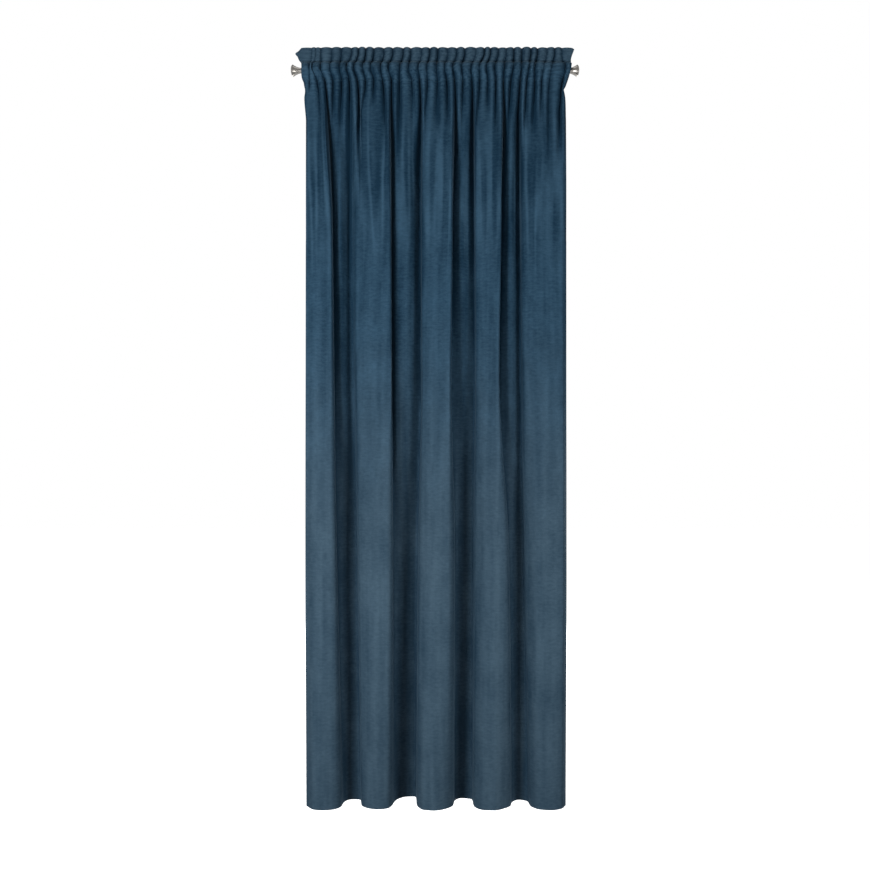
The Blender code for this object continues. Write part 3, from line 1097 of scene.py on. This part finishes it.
@dataclass
class Curtain:
    """The curtain panel: one sheet of velvet with its turned heading and its hems."""

    shape: HangingCloth
    top: float
    thickness: float = 1.5
    hem_thickness: float = 2.8
    side_hem: float = 22.0
    bottom_hem: float = 60.0
    back_end: float = -52.0
    flat_length: float = 2.83
    pleats_from: float = -640.0
    gathers_from: float = -200.0
    heading_from: float = -60.0
    hem_step: float = 27.0
    fold_step: float = 58.0
    pleat_step: float = 12.0
    gather_step: float = 7.0
    heading_step: float = 4.0
    back_step: float = 4.6
    columns_per_gather: int = 9
    sharp_angle: float = 75.0

    def columns(self) -> np.ndarray:
        """Spaces the mesh's columns, closer together in the gaps.

        Returns:
            Their places across the cloth.
        """
        even = np.linspace(0.0, GATHERS, GATHERS * self.columns_per_gather + 1)
        return self.shape.across_at(even - 0.5 * np.sin(2.0 * np.pi * even) / (2.0 * np.pi))

    def rows(self) -> list[tuple[float, float]]:
        """Spaces the mesh's rows, from the hem up the front and down the back.

        Returns:
            Height and side (-1 front, 1 back) of each row.
        """
        hem = self.shape.hem
        fold = self.shape.half_gap(self.top)
        heights = [
            hem,
            *spread(hem + 6, hem + self.bottom_hem, self.hem_step),
            hem + self.bottom_hem,
            *spread(hem + self.bottom_hem + 2, self.pleats_from, self.fold_step),
            *spread(self.pleats_from, self.gathers_from, self.pleat_step),
            *spread(self.gathers_from, self.heading_from, self.gather_step),
            *spread(self.heading_from, self.top - fold, self.heading_step),
        ]
        front = [(height, -1.0) for height in heights]
        turn = [
            (self.top - fold + fold * math.sin(angle), -math.cos(angle))
            for angle in np.linspace(0.0, math.pi, 7)
        ]
        behind = spread(self.top - fold - self.heading_step, self.back_end, self.back_step)
        back = [(height, 1.0) for height in behind]
        return [*front, *turn, *back, (self.back_end, 1.0)]

    def build(self, pile: bpy.types.Material, reverse: bpy.types.Material) -> bpy.types.Object:
        """Args:
            pile: Finish of the face, which shows on the turned heading and hems too.
            reverse: Finish of the back of the cloth.

        Returns:
            The finished piece.
        """
        across = self.columns()
        rows = self.rows()
        points = np.array([self.shape.surface(across, height, side) for height, side in rows])
        mesh = bpy.data.meshes.new("curtain_velvet")
        mesh.from_pydata((points.reshape(-1, 3) * MM).tolist(), [], grid_faces(len(rows), len(across)))
        self.lay_flat(mesh, across, points)
        mesh.shade_smooth()
        made = add_object("curtain_velvet", mesh, pile, pile, reverse, pile)
        # The openness of every point, kept on the mesh for the velvet's painted shade in the folds.
        crest = np.concatenate([self.shape.openness(row) for row in points])
        mesh.attributes.new(CREST, "FLOAT", "POINT").data.foreach_set("value", crest.astype(np.float32))
        self.thicken(made, across, points)
        return made

    def lay_flat(self, mesh: bpy.types.Mesh, across: np.ndarray, points: np.ndarray) -> None:
        """Adds the UV map "cloth", in metres across and along the flat cloth, and marks the hems' faces.

        Args:
            mesh: The mesh of the sheet.
            across: Places of its columns on the flat cloth.
            points: Its points, row by row.
        """
        middle = points[:, len(across) // 2]
        steps = np.hypot(np.diff(middle[:, 1]) * 0.5, np.diff(middle[:, 2]))
        along = np.concatenate([[0.0], np.cumsum(steps)])
        flat = np.stack(np.meshgrid(across, along), axis=-1).reshape(-1, 2) * MM
        corners = np.empty(len(mesh.loops), np.int32)
        mesh.loops.foreach_get("vertex_index", corners)
        mesh.uv_layers.new(name="cloth").data.foreach_set("uv", flat[corners].ravel().astype(np.float32))
        columns = len(across) - 1
        for face in mesh.polygons:
            row, column = divmod(face.index, columns)
            hemmed = [self.in_hem(across[corner], along[row]) for corner in (column, column + 1)]
            face.material_index = int(all(hemmed))

    def in_hem(self, across: float, along: float) -> bool:
        """Whether a place on the flat cloth lies in a side hem or the bottom hem."""
        inset = min(across, self.shape.width - across)
        return inset < self.side_hem or along < self.bottom_hem

    def thicken(self, made: bpy.types.Object, across: np.ndarray, points: np.ndarray) -> None:
        """Gives the sheet its thickness, more at the hems, with the reverse on its inner side.

        Args:
            made: The sheet.
            across: Places of its columns on the flat cloth.
            points: Its points, row by row.
        """
        count = len(across)
        heights = points[:, count // 2, 2] - self.shape.hem
        inset = np.minimum(across, self.shape.width - across)
        in_side = inset < self.side_hem
        is_front = np.arange(len(points)) < np.argmax(points[:, count // 2, 2])
        in_bottom = (heights <= self.bottom_hem + 0.1) & is_front
        hemmed = (in_bottom[:, None] | in_side[None, :]).ravel()
        group = made.vertex_groups.new(name="hems")
        plain = self.thickness / self.hem_thickness
        group.add(np.flatnonzero(hemmed).tolist(), 1.0, "REPLACE")
        group.add(np.flatnonzero(~hemmed).tolist(), plain, "REPLACE")
        solid = made.modifiers.new("Cloth thickness", "SOLIDIFY")
        solid.thickness = self.hem_thickness * MM
        solid.offset = -1.0
        solid.vertex_group = group.name
        solid.material_offset = 2
        solid.material_offset_rim = 0
        settle(made)
        mesh = made.data
        pile, reverse = mesh.materials[0], mesh.materials[2]
        inner = [face.material_index == 2 for face in mesh.polygons]
        mesh.materials.clear()
        mesh.materials.append(pile)
        mesh.materials.append(reverse)
        for face, is_inner in zip(mesh.polygons, inner, strict=True):
            face.material_index = int(is_inner)
        mesh.set_sharp_from_angle(angle=math.radians(self.sharp_angle))


@dataclass
class SeamStitches:
    """The two rows of machine stitches that hold the turned heading, on its front and its back."""

    shape: HangingCloth
    pitch: float = 3.6
    length: float = 2.9
    radius: float = 0.38
    lift: float = 0.15
    margin: float = 3.0
    steps: int = 1200

    def tree(self, finish: bpy.types.Material) -> bpy.types.NodeTree:
        """A tree that sets stitches along every line of its mesh.

        Args:
            finish: The thread.

        Returns:
            The tree, with Pitch, Length and Radius as its named inputs.
        """
        tree = bpy.data.node_groups.new("Stitch rows", "GeometryNodeTree")
        for name in ("Geometry", "Pitch", "Length", "Radius"):
            kind = "NodeSocketGeometry" if name == "Geometry" else "NodeSocketFloat"
            tree.interface.new_socket(name=name, in_out="INPUT", socket_type=kind)
        tree.interface.new_socket(name="Geometry", in_out="OUTPUT", socket_type="NodeSocketGeometry")
        graph = Graph(tree)
        given = graph.node("NodeGroupInput")
        run = graph.term("GeometryNodeMeshToCurve", None, {"Mesh": given.outputs["Geometry"]})
        spots = graph.node(
            "GeometryNodeCurveToPoints",
            {"mode": "LENGTH"},
            {"Curve": run, "Length": given.outputs["Pitch"]},
        )
        bead = graph.term("GeometryNodeMeshUVSphere", None, {"Segments": 6, "Rings": 4, "Radius": 1.0})
        half = Term(graph, given.outputs["Length"]) * 0.5
        radius = given.outputs["Radius"]
        size = graph.term("ShaderNodeCombineXYZ", None, {"X": radius, "Y": radius, "Z": half})
        stitches = graph.term(
            "GeometryNodeInstanceOnPoints",
            None,
            {
                "Points": spots.outputs["Points"],
                "Instance": bead,
                "Rotation": spots.outputs["Rotation"],
                "Scale": size,
            },
        )
        real = graph.term("GeometryNodeRealizeInstances", None, {"Geometry": stitches})
        dressed = graph.term("GeometryNodeSetMaterial", None, {"Geometry": real, "Material": finish})
        graph.node("NodeGroupOutput", None, {"Geometry": dressed})
        return tree

    def build(self, finish: bpy.types.Material) -> bpy.types.Object:
        """Lays the four lines on the cloth and sews them.

        Args:
            finish: The thread.

        Returns:
            The finished piece.
        """
        across = np.linspace(self.margin, self.shape.width - self.margin, self.steps)
        points, edges = [], []
        for height in (self.shape.lower_seam, self.shape.upper_seam):
            for side in (-1.0, 1.0):
                start = len(points)
                points.extend((self.shape.surface(across, height, side, self.lift) * MM).tolist())
                edges.extend((index, index + 1) for index in range(start, start + self.steps - 1))
        mesh = bpy.data.meshes.new("seam_stitches")
        mesh.from_pydata(points, edges, [])
        made = add_object("seam_stitches", mesh)
        tree = self.tree(finish)
        sewn = made.modifiers.new("Stitches", "NODES")
        sewn.node_group = tree
        sizes = {"Pitch": self.pitch, "Length": self.length, "Radius": self.radius}
        for item in tree.interface.items_tree:
            if item.in_out == "INPUT" and item.name in sizes:
                sewn[item.identifier] = sizes[item.name] * MM
        settle(made)
        made.data.shade_smooth()
        return made


def turned_mesh(
    name: str,
    profile: Sequence[tuple[float, float]],
    closed: bool,
    sides: int,
) -> bpy.types.Mesh:
    """Turns a profile round the rod's axis.

    Args:
        name: Name of the mesh.
        profile: Radius and X of each point in metres, walking with the solid on the right.
        closed: Whether the profile's end joins its start, as a tube's does.
        sides: Steps round the axis.

    Returns:
        A closed mesh, with its doubles merged.
    """
    ring = []
    for step in range(sides):
        angle = 2.0 * math.pi * step / sides
        ring.extend((x, radius * math.cos(angle), radius * math.sin(angle)) for radius, x in profile)
    count = len(profile)
    spans = count if closed else count - 1
    faces = []
    for step in range(sides):
        here = step * count
        there = (step + 1) % sides * count
        for span in range(spans):
            after = (span + 1) % count
            faces.append((here + span, here + after, there + after, there + span))
    mesh = bpy.data.meshes.new(name)
    mesh.from_pydata(ring, [], faces)
    shell = bmesh.new()
    shell.from_mesh(mesh)
    bmesh.ops.remove_doubles(shell, verts=shell.verts, dist=MERGE)
    bmesh.ops.dissolve_degenerate(shell, edges=shell.edges, dist=MERGE)
    bmesh.ops.recalc_face_normals(shell, faces=shell.faces)
    shell.to_mesh(mesh)
    shell.free()
    mesh.shade_smooth()
    mesh.set_sharp_from_angle(angle=math.radians(TURNED_SHARP))
    return mesh


@dataclass
class RodTube:
    """The tube that carries the cloth, with broken edges at its ends."""

    radius: float
    half_length: float
    wall: float = 0.0010
    edge_break: float = 0.00025
    sides: int = 64

    def build(self, finish: bpy.types.Material) -> bpy.types.Object:
        """Turns the tube.

        Args:
            finish: The metal.

        Returns:
            The finished piece.
        """
        bore = self.radius - self.wall
        end, broken = self.half_length, self.half_length - self.edge_break
        outer = [(self.radius - self.edge_break, end), (self.radius, broken)]
        inner = [(bore, broken), (bore + self.edge_break, end)]
        walls = [(radius, -x) for radius, x in reversed(outer)]
        bores = [(radius, -x) for radius, x in reversed(inner)]
        mesh = turned_mesh("rod_tube", [*outer, *walls, *bores, *inner], True, self.sides)
        return add_object("rod_tube", mesh, finish)


@dataclass
class Finial:
    """A turned, trumpet-shaped end with a flat rim and a low dome."""

    side: Side
    shoulder: float
    tip: float
    neck_radius: float
    rim_radius: float
    spigot_end: float
    wall: float = 0.0013
    neck: float = 0.008
    rim_thickness: float = 0.0012
    dome: float = 0.007
    flare_power: float = 1.8
    groove: float = 0.0005
    edge_break: float = 0.00035
    seat_inset: float = 0.0011
    seat_gap: float = 0.0002
    collar: float = 0.0022
    dome_steps: int = 14
    flare_steps: int = 18
    sides: int = 72

    def profile(self) -> list[tuple[float, float]]:
        """Draws the outline, from the dome's tip back to the spigot.

        Returns:
            Radius and distance from the middle of the rod of each point.
        """
        rim_front = self.tip - self.dome
        rim_back = rim_front - self.rim_thickness
        edge = self.edge_break
        seat = self.rim_radius - self.seat_inset
        dome = [
            (seat * math.sin(angle), rim_front + self.dome * math.cos(angle))
            for angle in np.linspace(0.0, 0.5 * math.pi, self.dome_steps)
        ]
        rim = [
            (seat + self.seat_gap, rim_front - self.groove),
            (self.rim_radius - edge, rim_front - self.groove),
            (self.rim_radius, rim_front - self.groove - edge),
            (self.rim_radius, rim_back + edge),
        ]
        start = self.shoulder + self.neck
        flare = [
            (
                self.neck_radius + (self.rim_radius - edge - self.neck_radius) * share**self.flare_power,
                start + (rim_back - start) * share,
            )
            for share in np.linspace(1.0, 0.0, self.flare_steps)
        ]
        band = start - self.collar
        collar = [
            (self.neck_radius, band + self.groove),
            (self.neck_radius - self.groove, band),
            (self.neck_radius - self.groove, band - self.groove),
            (self.neck_radius, band - 2.0 * self.groove),
            (self.neck_radius, self.shoulder + edge),
            (self.neck_radius - edge, self.shoulder),
        ]
        bore = self.neck_radius - self.wall
        spigot = [(bore, self.shoulder), (bore, self.spigot_end), (0.0, self.spigot_end)]
        return [*dome, *rim, *flare, *collar, *spigot]

    def build(self, finish: bpy.types.Material) -> bpy.types.Object:
        """Turns the finial, at its end of the rod.

        Args:
            finish: The metal.

        Returns:
            The finished piece.
        """
        name = f"finial_{self.side.name.lower()}_turned"
        placed = [(radius, self.side.value * x) for radius, x in self.profile()]
        return add_object(name, turned_mesh(name, placed, False, self.sides), finish)


class Lamp(NamedTuple):
    """One rectangular soft light: where it stands, the point that it faces, its size and its watts."""

    name: str
    place: tuple[float, float, float]
    aim: tuple[float, float, float]
    size: tuple[float, float]
    power: float


LAMPS = (
    Lamp("left_key", (-1.95, -2.25, -1.40), (0.0, 0.0, -1.45), (0.9, 0.9), 96.0),
    Lamp("right_key", (2.3, -2.0, -1.40), (0.0, 0.0, -1.45), (0.9, 0.9), 50.0),
    Lamp("front_fill", (0.0, -3.0, -1.45), (0.0, 0.0, -1.45), (1.2, 1.2), 26.0),
    Lamp("back_left", (-1.6, 2.6, -1.2), (0.0, 0.0, -1.35), (1.2, 1.4), 80.0),
    Lamp("back_right", (1.6, 2.6, -1.2), (0.0, 0.0, -1.35), (1.2, 1.4), 80.0),
    Lamp("top_soft", (0.0, -0.4, 1.9), (0.0, 0.0, -0.6), (1.6, 1.2), 14.0),
)


@dataclass
class Studio:
    """A white floor and surround, soft lights round the curtain, and the camera."""

    floor: float
    camera_distance: float = 2.9
    camera_height: float = -1.301
    lens: float = 33.6
    sensor: float = 36.0
    far: float = 50.0
    reach: float = 9.0
    surround: float = 1.0

    def build(self) -> None:
        """Sets out the studio."""
        self.set_surround()
        for lamp in LAMPS:
            self.set_lamp(lamp)
        self.lay_floor()
        self.set_camera()

    def set_surround(self) -> None:
        """Makes the surround white to the camera and in the metal, without lighting the cloth."""
        scene = bpy.context.scene
        scene.view_settings.view_transform = "Standard"
        world = bpy.data.worlds.new("studio")
        world.use_nodes = True
        sky = world.node_tree.nodes["Background"]
        sky.inputs["Color"].default_value = (1.0, 1.0, 1.0, 1.0)
        sky.inputs["Strength"].default_value = self.surround
        scene.world = world
        world.cycles_visibility.diffuse = False

    def set_lamp(self, lamp: Lamp) -> None:
        """Places a light that the camera doesn't see.

        Args:
            lamp: The light.
        """
        light = bpy.data.lights.new(lamp.name, "AREA")
        light.shape = "RECTANGLE"
        light.size, light.size_y = lamp.size
        light.energy = lamp.power
        made = bpy.data.objects.new(lamp.name, light)
        made.location = lamp.place
        facing = Vector(lamp.aim) - Vector(lamp.place)
        made.rotation_euler = facing.to_track_quat("-Z", "Y").to_euler()
        made.visible_camera = False
        bpy.context.scene.collection.objects.link(made)

    def lay_floor(self) -> None:
        """Lays the floor, which doesn't light the cloth."""
        far = self.reach
        corners = [(-far, -far), (far, -far), (far, far), (-far, far)]
        mesh = bpy.data.meshes.new("floor")
        mesh.from_pydata([(x, y, self.floor) for x, y in corners], [], [(0, 1, 2, 3)])
        floor = add_object("floor", mesh, StudioWhite().build())
        floor.visible_diffuse = False

    def set_camera(self) -> None:
        """Places the camera level, square to the curtain's face."""
        scene = bpy.context.scene
        camera = bpy.data.cameras.new("camera")
        camera.lens = self.lens
        camera.sensor_width = self.sensor
        camera.clip_end = self.far
        eye = bpy.data.objects.new("camera", camera)
        eye.location = (0.0, -self.camera_distance, self.camera_height)
        eye.rotation_euler = (math.radians(90.0), 0.0, 0.0)
        scene.collection.objects.link(eye)
        scene.camera = eye


def build_finials(finish: bpy.types.Material) -> None:
    """Builds both finials, each in the place and size of its node.

    Args:
        finish: The metal.
    """
    rod_low, rod_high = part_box("rod")
    for side in Side:
        node = f"finial_{side.name.lower()}"
        low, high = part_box(node)
        tip, spigot_end = max(abs(low.x), abs(high.x)), min(abs(low.x), abs(high.x))
        finial = Finial(
            side=side,
            shoulder=rod_high.x + FINIAL_GAP,
            tip=tip,
            neck_radius=(rod_high.z - rod_low.z) / 2,
            rim_radius=(high.z - low.z) / 2,
            spigot_end=spigot_end,
        )
        hand_over(finial.build(finish), Slot.FINIAL, node)


def main() -> None:
    """Loads the frame and builds the curtain, its stitches, the rod, the finials and the studio."""
    logging.basicConfig(level=logging.INFO, format="%(name)s: %(message)s")
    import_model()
    low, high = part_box("curtain")
    shape = HangingCloth(hem=low.z / MM)
    pile = Velvet().build()
    curtain = Curtain(shape, top=high.z / MM - 1.0).build(pile, VelvetReverse().build())
    hand_over(curtain, Slot.VELVET, "curtain")
    hand_over(SeamStitches(shape).build(Thread().build()), Slot.VELVET)
    metal = SatinNickel().build()
    rod_low, rod_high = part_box("rod")
    hand_over(RodTube((rod_high.z - rod_low.z) / 2, rod_high.x).build(metal), Slot.ROD, "rod")
    build_finials(metal)
    Studio(floor=low.z - FLOOR_DROP).build()


if __name__ == "__main__":
    main()
